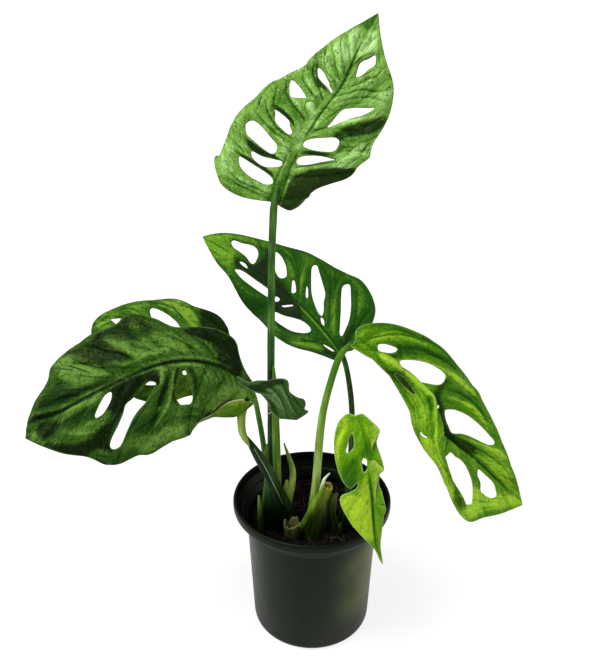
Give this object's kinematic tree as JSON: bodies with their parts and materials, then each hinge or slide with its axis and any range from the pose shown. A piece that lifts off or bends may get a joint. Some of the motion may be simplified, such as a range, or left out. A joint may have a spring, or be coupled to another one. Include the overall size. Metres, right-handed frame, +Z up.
{
  "type": "potted monstera adansonii",
  "caption": "Swiss cheese vine, a young monstera adansonii with perforated drooping leaves on arching stalks, growing in a round black nursery pot with rolled rim.",
  "frame": {"origin": "centre of the pot's flat base, where it stands", "axes": "+Z up along the pot's axis; the plant's front faces -Y and +X is to the viewer's right"},
  "size_m": [0.3387, 0.1295, 0.4512],
  "materials": {
    "pot_plastic": "black nursery pot, satin body, shiny inside",
    "potting_soil": "dark crumbly potting soil with bark and fibres",
    "sheath_green": "smooth olive-green leaf sheaths",
    "cut_stub": "yellow-green stub and a pale dried stump",
    "stalk_green": "smooth green leaf stalks",
    "leaf_mid_green": "glossy, quilted along pale veins",
    "leaf_dark_green": "glossy dark green with lighter patches",
    "leaf_bright_green": "glossy yellow-green young leaf"
  },
  "bodies": {
    "root": {"pot": "pot_plastic", "soil": "potting_soil", "crown_left": "sheath_green", "crown_middle": "cut_stub", "crown_right": "sheath_green", "petiole_top": "stalk_green", "petiole_upper": "stalk_green", "petiole_right": "stalk_green", "petiole_left": "stalk_green", "petiole_front": "stalk_green", "petiole_back": "stalk_green", "blade_top": "leaf_mid_green", "blade_upper": "leaf_dark_green", "blade_right": "leaf_bright_green", "blade_left": "leaf_dark_green", "blade_front": "leaf_bright_green", "blade_back": "leaf_bright_green"}
  },
  "joints": []
}
